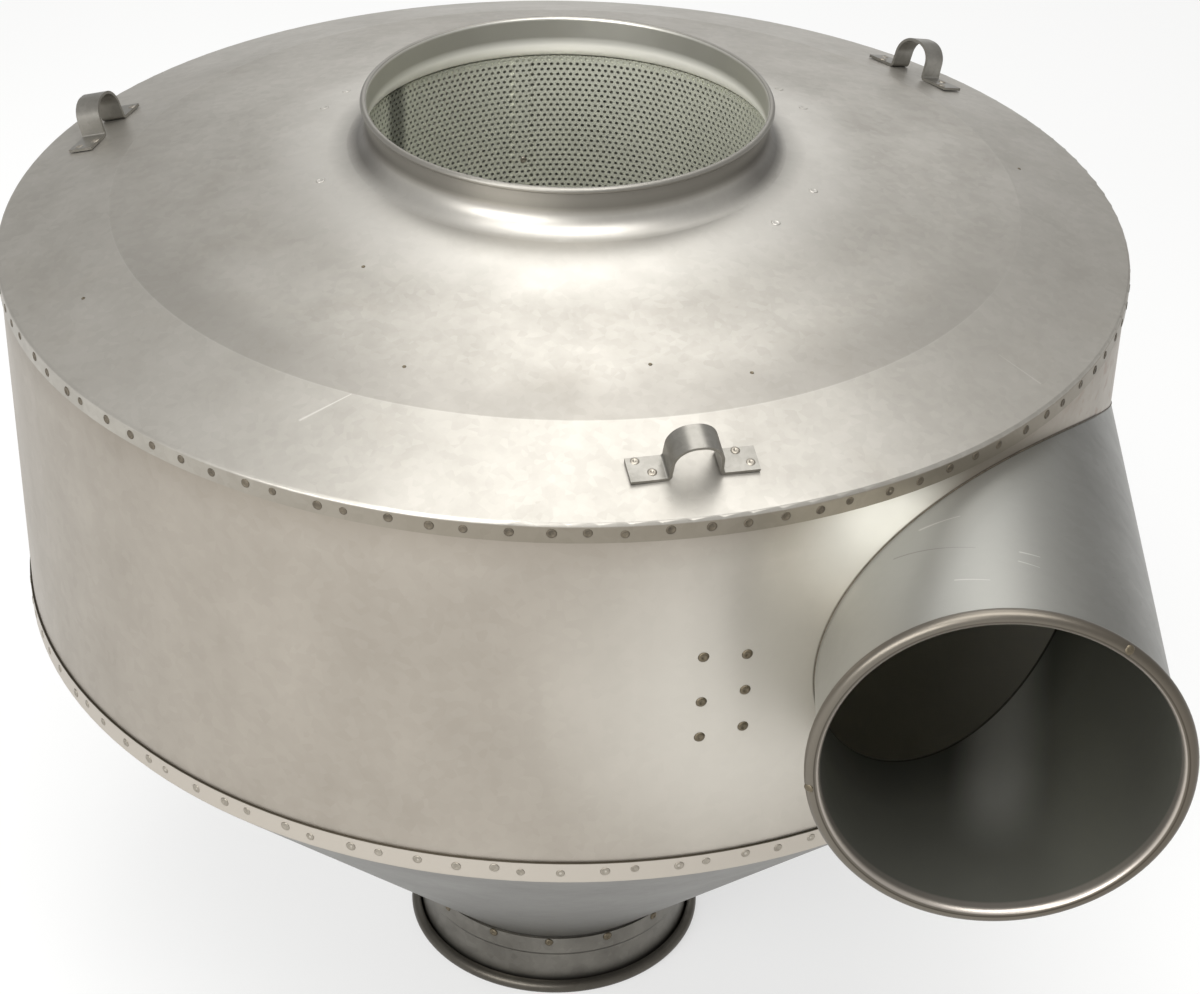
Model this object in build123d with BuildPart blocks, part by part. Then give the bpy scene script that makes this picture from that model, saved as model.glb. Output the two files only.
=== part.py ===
from build123d import *
import os
from math import atan, cos, degrees, radians, sin, sqrt, tan

# A low, wide cyclone separator in galvanised sheet, all sizes in millimetres.
# The origin is on the axis of the dust spout's bore, level with the end of its straight wall.
# The spout's rolled edge, which the machine stands on, hangs below that plane.
# +Z runs up the drum's axis, and the air inlet points along -Y on the +X side.

# Sheet metal
sheet = 1.0
lap_gap = 0.1

# Drum, cone and spout
drum_radius = 290.0
cone_height = 222.5
spout_length = 36.0

# Turned edges that grip the shell's two ends
lid_flange_height = 9.5
lid_flange_bend = 2.0
cone_flange_height = 11.5
cone_flange_bend = 2.0

# Lid: an outer slope up to a crease, a flatter inner slope, then a flare into the neck
rim_slope_run = 57.6
rim_slope_rise = 18.0
inner_slope_rise = 23.5
neck_radius = 101.9
neck_flare_run = 22.0
neck_flare_radius = 13.0
neck_height = 27.3
neck_curl_radius = 1.7

# Dust spout below the cone
spout_radius = 79.0
spout_lap = 12.0
spout_joggle = 2.0
spout_curl_radius = 3.8

# Air inlet, a round pipe that meets the drum along its side
inlet_radius = 79.0
inlet_top_gap = 16.0
inlet_foot_gap = 25.5
inlet_proud = 0.6
inlet_projection = 38.3
inlet_collar_land = 5.6
inlet_tip_back = 18.0
inlet_curl_radius = 3.5
inlet_hole_clearance = 0.3
inlet_hole_overrun = 0.5

# Screen that hangs under the neck
screen_outset = 6.5
screen_sheet = 0.8
screen_top_gap = 0.2
screen_depth = 150.0
screen_lap_width = 12.0
screen_floor_rim = 8.0
screen_floor_bend = 2.0
screen_flange_width = 35.6
screen_flange_leg = 2.5

# Lifting lugs on the lid's outer slope
lug_inset = 29.1
lug_strap = 1.5
lug_width = 14.0
lug_opening = 22.0
lug_foot = 18.5
lug_height = 18.5
lug_bend_radius = 2.5
lug_top_share = 0.93
lug_arch_share = 0.86

# Angles in degrees and numbers of pieces
curl_angle = 290.0
inlet_panel_angle = -80.0
inlet_panel_turn_angle = 85.0
screen_lap_angle = 106.0
lug_angles = {"lug_front": -74.5, "lug_right": 43.7, "lug_left": 165.5}

# Cuts run this far past what they cut
overrun = 30.0

# Heights that follow, from the spout up
cone_top = spout_length + cone_height
drum_height = inlet_top_gap + 2 * (inlet_radius + sheet) + inlet_foot_gap
rim_z = cone_top + drum_height
crease_z = rim_z + rim_slope_rise
neck_joint_z = crease_z + inner_slope_rise
inlet_z = rim_z - inlet_top_gap - inlet_radius - sheet

# Radii and slopes that follow
flange_inner_radius = drum_radius + lap_gap
flange_outer_radius = flange_inner_radius + sheet
crease_radius = flange_outer_radius - rim_slope_run
neck_joint_radius = neck_radius + neck_flare_run
rim_slope_share = rim_slope_rise / rim_slope_run
inner_slope_share = inner_slope_rise / (crease_radius - neck_joint_radius)
collar_outer_radius = spout_radius + sheet
screen_radius = neck_radius + screen_outset
inlet_offset = drum_radius + inlet_proud - inlet_radius - sheet
inlet_reach = drum_radius + inlet_projection


def inner_slope_z(radius):
    """The height of the lid's inner slope at a radius, on its upper face."""
    return neck_joint_z + (neck_joint_radius - radius) * inner_slope_share


os.makedirs("parts", exist_ok=True)


def half_plane(angle):
    """The upright plane through the drum's axis at an angle, with its X outwards and its Y up."""
    return Plane(
        origin=(0, 0, 0),
        x_dir=(cos(radians(angle)), sin(radians(angle)), 0),
        z_dir=(sin(radians(angle)), -cos(radians(angle)), 0),
    )


def curl(wall_radius, edge_z, radius, turn):
    """Both sides of a rolled edge that starts on a wall and turns outwards, and the end that it closes with."""
    centre = (wall_radius + radius, edge_z)
    outer = CenterArc(centre, radius, 180, turn)
    inner = CenterArc(centre, radius - sheet, 180, turn)
    Line(outer @ 1, inner @ 1)


def save(piece, name):
    piece.label = name
    export_step(piece, "parts/" + name + ".step")


# Shell: one rolled sheet, drawn as five bent panels round the drum
shell_panels = ["shell_right", "shell_back", "shell_left", "shell_front"]
shell_panel_angle = (360.0 - inlet_panel_turn_angle) / len(shell_panels)
shell_bottom = cone_top + sheet
shell_top = rim_z - lid_flange_bend
shell_middle = (shell_bottom + shell_top) / 2


def shell_sheet(angle, arc):
    """A bent panel of the shell that starts at an angle and runs anticlockwise."""
    with BuildPart() as panel:
        with BuildSketch(half_plane(angle)):
            with Locations((drum_radius - sheet / 2, shell_middle)):
                Rectangle(sheet, shell_top - shell_bottom)
        revolve(axis=Axis.Z, revolution_arc=arc)
    return panel.part


for number, name in enumerate(shell_panels):
    start = inlet_panel_angle + inlet_panel_turn_angle + number * shell_panel_angle
    save(shell_sheet(start, shell_panel_angle), name)

# The inlet's panel has the hole that the pipe blows through
with BuildPart() as shell_inlet_panel:
    add(shell_sheet(inlet_panel_angle, inlet_panel_turn_angle))
    with BuildSketch(Plane.XZ.offset(inlet_tip_back - inlet_hole_overrun)):
        with Locations((inlet_offset, inlet_z)):
            Circle(inlet_radius + inlet_hole_clearance)
    extrude(amount=drum_radius + overrun, mode=Mode.SUBTRACT)
save(shell_inlet_panel.part, "shell_inlet_panel")

# Inlet pipe: a collar with a rolled edge, then a length cut to the drum's curve
inlet_near_side = inlet_offset - inlet_radius - sheet
inlet_collar_end = sqrt(drum_radius**2 - inlet_near_side**2) + inlet_collar_land
inlet_axis = Axis((inlet_offset, 0, inlet_z), (0, -1, 0))
with BuildPart() as inlet_collar:
    with BuildSketch(Plane((inlet_offset, 0, inlet_z), x_dir=(1, 0, 0), z_dir=(0, 0, 1))):
        with BuildLine():
            Polyline(
                (inlet_radius, inlet_curl_radius - inlet_reach),
                (inlet_radius, -inlet_collar_end),
                (inlet_radius + sheet, -inlet_collar_end),
                (inlet_radius + sheet, inlet_curl_radius - inlet_reach),
            )
            curl(inlet_radius, inlet_curl_radius - inlet_reach, inlet_curl_radius, curl_angle)
        make_face()
    revolve(axis=inlet_axis)
save(inlet_collar.part, "inlet_collar")

with BuildPart() as inlet_pipe:
    with BuildSketch(Plane.XZ.offset(inlet_tip_back)):
        with Locations((inlet_offset, inlet_z)):
            Circle(inlet_radius + sheet)
            Circle(inlet_radius, mode=Mode.SUBTRACT)
    extrude(amount=inlet_collar_end - inlet_tip_back)
    with BuildSketch(Plane.XY.offset(cone_top)):
        Circle(drum_radius)
    extrude(amount=drum_height, mode=Mode.SUBTRACT)
save(inlet_pipe.part, "inlet_pipe")

# Lid rim: the turned-down flange and the outer slope up to the crease
with BuildPart() as lid_rim:
    with BuildSketch(half_plane(0)):
        with BuildLine():
            outer_edge = FilletPolyline(
                (flange_outer_radius, rim_z - lid_flange_height),
                (flange_outer_radius, rim_z),
                (crease_radius, crease_z),
                radius=lid_flange_bend,
            )
            inner_edge = FilletPolyline(
                (flange_inner_radius, rim_z - lid_flange_height),
                (flange_inner_radius, rim_z + sheet * rim_slope_share - sheet),
                (crease_radius, crease_z - sheet),
                radius=lid_flange_bend - sheet,
            )
            Line(outer_edge @ 0, inner_edge @ 0)
            Line(outer_edge @ 1, inner_edge @ 1)
        make_face()
    revolve(axis=Axis.Z)
save(lid_rim.part, "lid_rim")

# Lid cone: the flatter slope from the crease in to the neck
with BuildPart() as lid_cone:
    with BuildSketch(half_plane(0)):
        with BuildLine():
            Polyline(
                (crease_radius, crease_z),
                (neck_joint_radius, neck_joint_z),
                (neck_joint_radius, neck_joint_z - sheet),
                (crease_radius, crease_z - sheet),
                close=True,
            )
        make_face()
    revolve(axis=Axis.Z)
save(lid_cone.part, "lid_cone")

# Outlet collar: the flare, the neck and its rolled edge in one spun ring
neck_corner_z = inner_slope_z(neck_radius) - sheet
neck_curl_z = neck_joint_z + neck_height - neck_curl_radius
with BuildPart() as outlet_collar:
    with BuildSketch(half_plane(0)):
        with BuildLine():
            FilletPolyline(
                (neck_joint_radius, neck_joint_z - sheet),
                (neck_radius, neck_corner_z),
                (neck_radius, neck_curl_z),
                radius=neck_flare_radius,
            )
            FilletPolyline(
                (neck_joint_radius, neck_joint_z),
                (neck_radius + sheet, inner_slope_z(neck_radius + sheet)),
                (neck_radius + sheet, neck_curl_z),
                radius=neck_flare_radius - sheet,
            )
            Line((neck_joint_radius, neck_joint_z - sheet), (neck_joint_radius, neck_joint_z))
            curl(neck_radius, neck_curl_z, neck_curl_radius, -curl_angle)
        make_face()
    revolve(axis=Axis.Z)
save(outlet_collar.part, "outlet_collar")

# Cone: a turned-up flange round the shell's foot, the cone, and a short collar in the spout
cone_quarters = ["cone_right", "cone_back", "cone_left", "cone_front"]
quarter_angle = 360.0 / len(cone_quarters)
for number, name in enumerate(cone_quarters):
    with BuildPart() as cone_quarter:
        with BuildSketch(half_plane(number * quarter_angle - quarter_angle / 2)):
            with BuildLine():
                FilletPolyline(
                    (flange_outer_radius, cone_top + cone_flange_height),
                    (flange_outer_radius, cone_top),
                    (collar_outer_radius, spout_length),
                    (collar_outer_radius, spout_length - spout_lap + lap_gap),
                    radius=cone_flange_bend,
                )
                offset(amount=sheet, side=Side.RIGHT)
            make_face()
        revolve(axis=Axis.Z, revolution_arc=quarter_angle)
    save(cone_quarter.part, name)

# Dust spout: swaged out over the cone's collar at the top, rolled outwards at the mouth
swage_radius = collar_outer_radius + lap_gap
swage_foot_z = spout_length - spout_lap - spout_joggle
swage_top_z = spout_length - spout_lap
spout_edge_z = spout_length - sheet
with BuildPart() as dust_spout:
    with BuildSketch(half_plane(0)):
        with BuildLine():
            Polyline(
                (spout_radius, 0),
                (spout_radius, swage_foot_z),
                (swage_radius, swage_top_z),
                (swage_radius, spout_edge_z),
                (swage_radius + sheet, spout_edge_z),
                (swage_radius + sheet, swage_top_z),
                (spout_radius + sheet, swage_foot_z),
                (spout_radius + sheet, 0),
            )
            curl(spout_radius, 0, spout_curl_radius, curl_angle)
        make_face()
    revolve(axis=Axis.Z)
save(dust_spout.part, "dust_spout")

# Screen: a perforated sheet rolled to a cylinder, in three panels, with a lapped seam
screen_panels = ["screen_left", "screen_front", "screen_right"]
screen_panel_angle = 360.0 / len(screen_panels)
flare_turn_angle = 90 - degrees(atan(inner_slope_share))
flare_tangent = neck_flare_radius * tan(radians(flare_turn_angle / 2))
flare_offset = neck_radius + neck_flare_radius - screen_radius
flare_drop = sqrt(neck_flare_radius**2 - flare_offset**2)
screen_top = neck_corner_z + flare_tangent - flare_drop - screen_top_gap
screen_bottom = rim_z - screen_depth
screen_middle = (screen_top + screen_bottom) / 2


def screen_sheet_panel(angle, arc, outer_radius):
    """A bent panel of the screen's sheet."""
    with BuildPart() as panel:
        with BuildSketch(half_plane(angle)):
            with Locations((outer_radius - screen_sheet / 2, screen_middle)):
                Rectangle(screen_sheet, screen_top - screen_bottom)
        revolve(axis=Axis.Z, revolution_arc=arc)
    return panel.part


for number, name in enumerate(screen_panels):
    start = screen_lap_angle + number * screen_panel_angle
    save(screen_sheet_panel(start, screen_panel_angle, screen_radius), name)

# The seam is the end of the same sheet, lapped over the inside
lap_outer_radius = screen_radius - screen_sheet - lap_gap
lap_turn_angle = degrees(screen_lap_width / lap_outer_radius)
lap_start_angle = screen_lap_angle - lap_turn_angle / 2
save(screen_sheet_panel(lap_start_angle, lap_turn_angle, lap_outer_radius), "screen_lap")

# Screen flange: the ring under the lid that the screen hangs from
flange_leg_radius = screen_radius + lap_gap
flange_edge_radius = flange_leg_radius + screen_flange_width
flange_leg_z = inner_slope_z(flange_leg_radius) - sheet - lap_gap
flange_edge_z = inner_slope_z(flange_edge_radius) - sheet - lap_gap
with BuildPart() as screen_flange:
    with BuildSketch(half_plane(0)):
        with BuildLine():
            Polyline(
                (flange_edge_radius, flange_edge_z),
                (flange_leg_radius, flange_leg_z),
                (flange_leg_radius, flange_leg_z - screen_flange_leg),
            )
            offset(amount=sheet, side=Side.LEFT)
        make_face()
    revolve(axis=Axis.Z)
save(screen_flange.part, "screen_flange")

# Screen floor: a dished disc that closes the screen's lower end
floor_radius = lap_outer_radius - screen_sheet - lap_gap
with BuildPart() as screen_floor:
    with BuildSketch(half_plane(0)):
        with BuildLine():
            FilletPolyline(
                (0, screen_bottom),
                (floor_radius, screen_bottom),
                (floor_radius, screen_bottom + screen_floor_rim),
                radius=screen_floor_bend,
            )
            offset(amount=sheet, side=Side.LEFT)
        make_face()
    revolve(axis=Axis.Z)
save(screen_floor.part, "screen_floor")

# Lifting lugs: a bent strap with an arch between two feet, laid flat on the lid's outer slope
lug_radius = flange_outer_radius - lug_inset
lug_seat_z = rim_z + lug_inset * rim_slope_share
lid_slope = Vector(rim_slope_run, 0, -rim_slope_rise).normalized()
half_opening = lug_opening / 2
half_top = half_opening * lug_top_share
foot_tip = half_opening + lug_foot
arch_radius = half_opening * lug_arch_share
for name, angle in lug_angles.items():
    outward = lid_slope.rotate(Axis.Z, angle)
    along = Vector(-sin(radians(angle)), cos(radians(angle)), 0)
    seat = Vector(lug_radius * cos(radians(angle)), lug_radius * sin(radians(angle)), lug_seat_z)
    with BuildPart() as lug:
        with BuildSketch(Plane(origin=seat - outward * (lug_width / 2), x_dir=along, z_dir=outward)):
            with BuildLine():
                FilletPolyline(
                    (foot_tip, 0),
                    (half_opening, 0),
                    (half_top, lug_height),
                    (-half_top, lug_height),
                    (-half_opening, 0),
                    (-foot_tip, 0),
                    radius=[lug_bend_radius, arch_radius, arch_radius, lug_bend_radius],
                )
                offset(amount=lug_strap, side=Side.RIGHT)
            make_face()
        extrude(amount=lug_width)
    save(lug.part, name)
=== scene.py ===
from math import atan, cos, pi, radians, sin, sqrt, tan

import bpy
from mathutils import Matrix, Vector


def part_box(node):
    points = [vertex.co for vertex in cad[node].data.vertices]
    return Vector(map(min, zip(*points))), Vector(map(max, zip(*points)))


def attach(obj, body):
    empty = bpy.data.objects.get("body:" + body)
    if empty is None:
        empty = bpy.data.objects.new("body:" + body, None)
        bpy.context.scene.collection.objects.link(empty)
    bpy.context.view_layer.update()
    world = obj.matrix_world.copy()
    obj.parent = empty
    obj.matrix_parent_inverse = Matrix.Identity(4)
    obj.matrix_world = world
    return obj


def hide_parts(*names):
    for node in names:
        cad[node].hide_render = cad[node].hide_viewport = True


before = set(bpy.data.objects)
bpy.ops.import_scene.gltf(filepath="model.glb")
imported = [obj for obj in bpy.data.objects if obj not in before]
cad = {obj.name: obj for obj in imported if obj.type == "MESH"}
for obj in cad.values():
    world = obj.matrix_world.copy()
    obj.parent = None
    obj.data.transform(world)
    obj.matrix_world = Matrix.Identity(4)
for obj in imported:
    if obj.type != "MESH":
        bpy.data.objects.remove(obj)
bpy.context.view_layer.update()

# The dress of a low, wide cyclone separator in galvanised sheet. All lengths are in metres.
mm = 0.001
collection = bpy.context.scene.collection

# Sizes that the frame gives
rim_low, rim_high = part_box("lid_rim")
spout_low, spout_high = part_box("dust_spout")
pipe_low, pipe_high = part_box("inlet_pipe")
screen_low, screen_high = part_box("screen_left")
floor_z = spout_low.z
flange_radius = rim_high.x
crease_z = rim_high.z
crease_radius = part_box("lid_cone")[1].x
neck_joint_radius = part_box("outlet_collar")[1].x
neck_joint_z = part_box("lid_cone")[1].z
drum_radius = -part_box("shell_left")[0].x
strip_top_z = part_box("cone_left")[1].z
screen_radius = -screen_low.x
pipe_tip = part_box("inlet_collar")[0].y
pipe_radius = (pipe_high.z - pipe_low.z) / 2
pipe_axis = Vector(((pipe_low.x + pipe_high.x) / 2, 0, (pipe_low.z + pipe_high.z) / 2))

# Sizes that the solids have and the frame doesn't give
sheet = 1.0 * mm
lap_gap = 0.1 * mm
lid_flange_height = 9.5 * mm
cone_flange_height = 11.5 * mm
cone_collar_radius = 80.0 * mm
cone_foot_z = 36.0 * mm
neck_radius = 101.9 * mm
flare_radius = 13.0 * mm
swage_radius = 81.1 * mm
curl_radius = 3.5 * mm
lug_strap = 1.5 * mm

# The middle between the faces of the cone's sheet, with half the sheet measured level across its slope
cone_half_sheet = 0.7 * mm
cone_top_z = strip_top_z - cone_flange_height
cone_top_radius = flange_radius - cone_half_sheet
cone_foot_radius = cone_collar_radius - cone_half_sheet

# The lid's two slopes, as in the solids
rim_z = rim_low.z + lid_flange_height
rim_slope = (crease_z - rim_z) / (flange_radius - crease_radius)
inner_slope = (neck_joint_z - crease_z) / (crease_radius - neck_joint_radius)

# The flare into the neck, as in the solids
flare_corner_z = neck_joint_z + (neck_joint_radius - neck_radius) * inner_slope - sheet
flare_top_z = flare_corner_z + flare_radius * tan((pi / 2 - atan(inner_slope)) / 2)


def lid_z(radius):
    """The height of the lid's upper face at a radius."""
    if radius > crease_radius:
        return rim_z + (flange_radius - radius) * rim_slope
    return crease_z + (crease_radius - radius) * inner_slope


def on_lid(radius, angle):
    """A point on the lid's upper face and the way that face looks, at a radius and an angle in degrees."""
    slope = rim_slope if radius > crease_radius else inner_slope
    turn = radians(angle)
    point = Vector((radius * cos(turn), radius * sin(turn), lid_z(radius)))
    return point, Vector((slope * cos(turn), slope * sin(turn), 1)).normalized()


def on_drum(radius, angle, z):
    """A point on an upright wall and the way it looks, at a radius, an angle in degrees and a height."""
    outward = Vector((cos(radians(angle)), sin(radians(angle)), 0))
    return outward * radius + Vector((0, 0, z)), outward


# Colours and nodes


def linear(code):
    """A colour written as sRGB hex, in linear light."""
    shares = [int(code[i:i + 2], 16) / 255 for i in (1, 3, 5)]
    return [s / 12.92 if s <= 0.04045 else ((s + 0.055) / 1.055) ** 2.4 for s in shares] + [1.0]


def socket(sockets, name):
    """The socket with that identifier, or else with that name or number."""
    return next((s for s in sockets if s.identifier == name), None) or sockets[name]


def node(tree, kind, links=None, **settings):
    """Adds a node with its settings. Links holds a value, a node or an output for each input."""
    made = tree.nodes.new(kind)
    for name, value in settings.items():
        setattr(made, name, value)
    for name, value in (links or {}).items():
        target = socket(made.inputs, name)
        if isinstance(value, bpy.types.Node):
            value = next(s for s in value.outputs if s.enabled)
        if isinstance(value, bpy.types.NodeSocket):
            tree.links.new(value, target)
        else:
            target.default_value = value
    return made


def new_material(name):
    """An empty material and its tree."""
    material = bpy.data.materials.new(name)
    material.use_nodes = True
    tree = material.node_tree
    tree.nodes.clear()
    return material, tree


# What the zinc sheets share: how far spangle, clouds and streaks mix the two greys, how the streaks are drawn
# out, how high the small waves and clouds stand, and how metallic bare and chalky zinc is
spangle_share = 0.22
cloud_share = 0.48
streak_share = 0.3
streak_squeeze = (1, 1, 0.22)
wave_height = 0.25 * mm
cloud_height = 0.08 * mm
zinc_metal = 0.85
chalky_metal = 0.35


def worn_metal(name, light, dark, roughness, spread, grain, cloud, streak, wave, tint=None, metal=zinc_metal):
    """Zinc-coated sheet: two greys mixed by spangle, clouds and streaks, with a satin, wavy face.

    A tint changes the colour in places, and may say where the zinc is chalky and less like metal.
    """
    material, tree = new_material(name)
    place = node(tree, "ShaderNodeTexCoord").outputs["Object"]
    cells = node(tree, "ShaderNodeTexVoronoi", {"Vector": place, "Scale": 1 / grain})
    cell_value = node(tree, "ShaderNodeSeparateColor", {"Color": cells.outputs["Color"]})
    clouds = node(tree, "ShaderNodeTexNoise", {
        "Vector": place, "Scale": 1 / cloud, "Detail": 5.0, "Roughness": 0.62})
    stretched = node(tree, "ShaderNodeMapping", {"Vector": place, "Scale": streak_squeeze})
    streaks = node(tree, "ShaderNodeTexNoise", {"Vector": stretched, "Scale": 1 / streak, "Detail": 3.0})
    soft = node(tree, "ShaderNodeMapRange", {"Value": clouds, "From Min": 0.32, "From Max": 0.68})
    soft_streaks = node(tree, "ShaderNodeMapRange", {"Value": streaks, "From Min": 0.3, "From Max": 0.7})
    first = node(tree, "ShaderNodeMath", {0: cell_value, 1: spangle_share}, operation="MULTIPLY")
    second = node(tree, "ShaderNodeMath", {0: soft, 1: cloud_share, 2: first}, operation="MULTIPLY_ADD")
    third = node(tree, "ShaderNodeMath", {
        0: soft_streaks, 1: streak_share, 2: second}, operation="MULTIPLY_ADD")
    colour = node(tree, "ShaderNodeMix", {
        "Factor_Float": third, "A_Color": linear(dark), "B_Color": linear(light)}, data_type="RGBA")
    chalk = None
    if tint:
        colour, chalk = tint(tree, place, colour)
    rough = node(tree, "ShaderNodeMapRange", {
        "Value": third, "To Min": roughness + spread, "To Max": roughness - spread})
    waves = node(tree, "ShaderNodeTexNoise", {"Vector": place, "Scale": 1 / wave, "Detail": 1.0})
    low = node(tree, "ShaderNodeBump", {"Height": waves, "Strength": 1.0, "Distance": wave_height})
    high = node(tree, "ShaderNodeBump", {
        "Height": clouds, "Strength": 0.5, "Distance": cloud_height, "Normal": low})
    shader = node(tree, "ShaderNodeBsdfPrincipled", {
        "Base Color": colour, "Roughness": rough, "Normal": high, "Metallic": metal})
    if chalk:
        bare = node(tree, "ShaderNodeMapRange", {"Value": chalk, "To Min": metal, "To Max": chalky_metal})
        tree.links.new(bare.outputs["Result"], shader.inputs["Metallic"])
    node(tree, "ShaderNodeOutputMaterial", {"Surface": shader})
    return material


# What makes a map range fall from 1 to 0, where it would rise from 0 to 1
falling = {"To Min": 1.0, "To Max": 0.0}


def band(tree, measure, low, high, soft):
    """A mask that is 1 where a measure lies between two limits and fades out beyond each of them."""
    rise = node(tree, "ShaderNodeMapRange", {"Value": measure, "From Min": low - soft, "From Max": low})
    fall = node(tree, "ShaderNodeMapRange", {
        "Value": measure, "From Min": high, "From Max": high + soft, **falling})
    return node(tree, "ShaderNodeMath", {0: rise, 1: fall}, operation="MULTIPLY")


def blend(tree, colour, mask, code, share=1.0):
    """Mixes a colour towards another one where a mask is 1, as far as a share says."""
    weaker = node(tree, "ShaderNodeMath", {0: mask, 1: share}, operation="MULTIPLY")
    return node(tree, "ShaderNodeMix", {
        "Factor_Float": weaker, "A_Color": colour, "B_Color": linear(code)}, data_type="RGBA")


def reach(tree, place, axes=(1, 1, 0), middle=(0, 0, 0)):
    """The distance from a middle along the given axes. With none given, it is that from the drum's axis."""
    moved = node(tree, "ShaderNodeVectorMath", {0: place, 1: middle}, operation="SUBTRACT")
    flat = node(tree, "ShaderNodeVectorMath", {0: moved, 1: axes}, operation="MULTIPLY")
    return node(tree, "ShaderNodeVectorMath", {0: flat}, operation="LENGTH").outputs["Value"]


def scratch(tree, place, start, end, width):
    """A mask that is 1 along a straight scratch, seen from above, and thins out towards its end."""
    thinned_share = 0.6
    start, way = Vector((*start, 0)) * mm, Vector((end[0] - start[0], end[1] - start[1], 0)) * mm
    moved = node(tree, "ShaderNodeVectorMath", {0: place, 1: start}, operation="SUBTRACT")
    flat = node(tree, "ShaderNodeVectorMath", {0: moved, 1: (1, 1, 0)}, operation="MULTIPLY")
    dot = node(tree, "ShaderNodeVectorMath", {0: flat, 1: way}, operation="DOT_PRODUCT")
    along = node(tree, "ShaderNodeMath", {
        0: dot.outputs["Value"], 1: 1 / way.length_squared}, operation="MULTIPLY", use_clamp=True)
    foot = node(tree, "ShaderNodeVectorMath", {0: way, "Scale": along}, operation="SCALE")
    aside = node(tree, "ShaderNodeVectorMath", {0: flat, 1: foot}, operation="DISTANCE")
    thin = node(tree, "ShaderNodeMath", {
        0: along, 1: -thinned_share * width, 2: width}, operation="MULTIPLY_ADD")
    return node(tree, "ShaderNodeMapRange", {
        "Value": aside.outputs["Value"], "From Min": 0.0, "From Max": thin, **falling})


# Scratches: the start and end seen from above and the width, in millimetres, and the colour and its share
lid_scratches = [
    ((-106.5, -231.5), (-85.0, -217.9), 0.9, "#E6E4DD", 0.5),
    ((232.0, -157.0), (213.0, -144.0), 0.7, "#DAD7D0", 0.35),
]
pipe_scratches = [
    ((173.6, -243.8), (191.1, -241.1), 0.9, "#E4E2DC", 0.5),
    ((215.2, -271.7), (223.9, -273.5), 0.7, "#E4E2DC", 0.5),
    ((185.9, -290.2), (200.5, -293.8), 0.6, "#E4E2DC", 0.5),
    ((214.0, -279.0), (223.0, -282.0), 0.5, "#E4E2DC", 0.5),
    ((162.0, -257.0), (196.0, -268.0), 0.6, "#77756F", 0.6),
]


def lid_stains_and_highlight(tree, place, colour):
    """Faint stains all over the lid, and a painted highlight that pales it round the neck and in the flare.
    """
    stain_width = 45 * mm
    highlight_radius, highlight_end_radius = 125 * mm, 165 * mm
    stains = node(tree, "ShaderNodeTexNoise", {
        "Vector": place, "Scale": 1 / stain_width, "Detail": 4.0, "Distortion": 0.8})
    stained = node(tree, "ShaderNodeMapRange", {"Value": stains, "From Min": 0.55, "From Max": 0.75})
    colour = blend(tree, colour, stained, "#8B8272", 0.12)
    # Painted highlight: round the neck and in the flare the colour is painted lighter, fading outwards
    painted_light_patch = node(tree, "ShaderNodeMapRange", {
        "Value": reach(tree, place), "From Min": highlight_radius, "From Max": highlight_end_radius, **falling},
        interpolation_type="SMOOTHSTEP")
    return blend(tree, colour, painted_light_patch, "#D2CFC8", 0.45)


def lid_tint(tree, place, colour):
    """Spot heat has yellowed the turned-down flange, most of all in front.

    In front, painted shade darkens the lid just inside the crease, a faint painted highlight follows the
    crease, and two scratches cross the rim.
    """
    heat_gap, heat_soft = 1.5 * mm, 0.5 * mm
    cool_x, heated_x, cool_share = -200 * mm, -50 * mm, 0.2
    crease_shade_width, crease_shade_edge, crease_shade_soft = 14 * mm, 0.5 * mm, 22 * mm
    crease_shade_y, bright_y, bright_share = -150 * mm, -40 * mm, 0.2
    line_half, line_soft = 0.2 * mm, 0.5 * mm
    parts = node(tree, "ShaderNodeSeparateXYZ", {"Vector": place})
    flange = band(tree, parts.outputs["Z"], rim_low.z, rim_z - heat_gap, heat_soft)
    front = node(tree, "ShaderNodeMapRange", {
        "Value": parts.outputs["X"], "From Min": cool_x, "From Max": heated_x,
        "To Min": cool_share, "To Max": 1.0})
    heated = node(tree, "ShaderNodeMath", {0: flange, 1: front}, operation="MULTIPLY")
    radius = reach(tree, place)
    colour = lid_stains_and_highlight(tree, place, colour)
    # Painted shade just inside the crease, strongest in front
    crease_shade = band(tree, radius, crease_radius - crease_shade_width, crease_radius - crease_shade_edge, crease_shade_soft)
    inside_crease = node(tree, "ShaderNodeMath", {0: radius, 1: crease_radius}, operation="LESS_THAN")
    crease_shade_inside = node(tree, "ShaderNodeMath", {0: crease_shade, 1: inside_crease}, operation="MULTIPLY")
    in_front = node(tree, "ShaderNodeMapRange", {
        "Value": parts.outputs["Y"], "From Min": crease_shade_y, "From Max": bright_y, "To Min": 1.0,
        "To Max": bright_share}, interpolation_type="SMOOTHSTEP")
    painted_crease_shade = node(tree, "ShaderNodeMath", {0: crease_shade_inside, 1: in_front}, operation="MULTIPLY")
    colour = blend(tree, colour, painted_crease_shade, "#8A867F", 0.5)
    outside_crease = node(tree, "ShaderNodeMath", {0: radius, 1: crease_radius}, operation="GREATER_THAN")
    colour = blend(tree, colour, outside_crease, "#D5D1C9", 0.08)
    colour = blend(tree, colour, heated, "#6A604E", 0.65)
    # Painted highlight: a faint light line along the crease
    crease_highlight = band(tree, radius, crease_radius - line_half, crease_radius + line_half, line_soft)
    colour = blend(tree, colour, crease_highlight, "#D8D5CE", 0.06)
    for start, end, width, code, share in lid_scratches:
        colour = blend(tree, colour, scratch(tree, place, start, end, width * mm), code, share)
    return colour, None


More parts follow.
